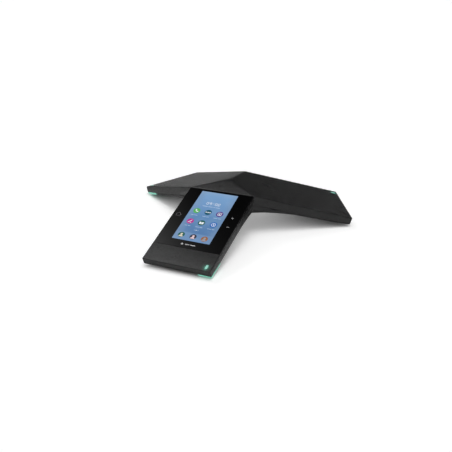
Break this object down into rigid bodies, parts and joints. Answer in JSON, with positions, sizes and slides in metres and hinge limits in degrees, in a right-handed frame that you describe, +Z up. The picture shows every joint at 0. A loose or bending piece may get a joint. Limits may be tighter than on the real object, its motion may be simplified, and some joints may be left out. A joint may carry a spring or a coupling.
{
  "type": "three-legged conference phone",
  "caption": "Low Y-shaped tabletop conference phone with a glass touch panel on one arm, a lit strip and mute key at each tip, and a connector bay underneath.",
  "frame": {"origin": "middle of the bounding box, on the table under the feet", "axes": "+Z up; the arm with the touch panel points along -Y; +X is to the right of someone facing the panel"},
  "size_m": [0.3828, 0.3318, 0.0735],
  "materials": {
    "cover_plastic": "fine perforated satin",
    "base_plastic": "satin",
    "cover_glass": "polished, printed black from behind",
    "screen": "lit display",
    "light_pipe": "translucent, lit green",
    "mute_lens": "translucent, lit green",
    "rubber": "matte",
    "foam": "open-cell foam",
    "steel": "satin",
    "magnet_steel": "zinc plated",
    "screw_steel": "black zinc",
    "jack_metal": "nickel plated",
    "black_plastic": "matte",
    "circuit_board": "solder mask",
    "flex_film": "amber film",
    "cone_paper": "pressed paper",
    "copper": "enamelled wire"
  },
  "bodies": {
    "phone": {"top_cover": "cover_plastic", "base_cover": "base_plastic", "cover_glass": "cover_glass", "display_gasket": "foam", "lcd_panel": "screen", "backlight_unit": "steel", "display_frame": "steel", "display_flex": "flex_film", "main_board": "circuit_board", "processor_shield": "steel", "wireless_module": "circuit_board", "antenna_left": "flex_film", "antenna_right": "flex_film", "port_panel": "base_plastic", "lan_jack": "jack_metal", "pc_jack": "jack_metal", "usb_a_port": "jack_metal", "micro_usb_port": "jack_metal", "audio_jack": "black_plastic", "lock_plate": "steel", "io_board": "circuit_board", "power_switch": "black_plastic", "io_cable": "flex_film", "speaker_gasket": "foam", "speaker_frame": "steel", "speaker_magnet": "magnet_steel", "speaker_spider": "cone_paper", "speaker_surround": "rubber", "light_pipe_front": "light_pipe", "mute_lens_front": "mute_lens", "tip_board_front": "circuit_board", "microphone_front": "jack_metal", "foot_front": "rubber", "tip_cable_front": "flex_film", "light_pipe_right": "light_pipe", "mute_lens_right": "mute_lens", "tip_board_right": "circuit_board", "microphone_right": "jack_metal", "foot_right": "rubber", "tip_cable_right": "flex_film", "light_pipe_left": "light_pipe", "mute_lens_left": "mute_lens", "tip_board_left": "circuit_board", "microphone_left": "jack_metal", "foot_left": "rubber", "tip_cable_left": "flex_film", "case_screw_1": "screw_steel", "case_screw_2": "screw_steel", "case_screw_3": "screw_steel", "case_screw_4": "screw_steel", "case_screw_5": "screw_steel", "case_screw_6": "screw_steel", "case_screw_7": "screw_steel", "case_screw_8": "screw_steel", "board_screw_1": "screw_steel", "board_screw_2": "screw_steel"},
    "power_button": {"power_button": "black_plastic", "switch_plunger": "black_plastic"},
    "speaker_cone": {"speaker_cone": "cone_paper", "speaker_coil": "copper"}
  },
  "joints": [
    {"name": "power_button_press", "type": "slide", "parent": "phone", "child": "power_button", "axis": [0, -1, 0], "range_m": [0, 0.0008], "stiffness_N_per_m": 1500},
    {"name": "speaker_cone_travel", "type": "slide", "parent": "phone", "child": "speaker_cone", "axis": [0, 0, 1], "range_m": [-0.0012, 0.0012], "stiffness_N_per_m": 1500, "deforming": ["speaker_surround", "speaker_spider"]}
  ]
}
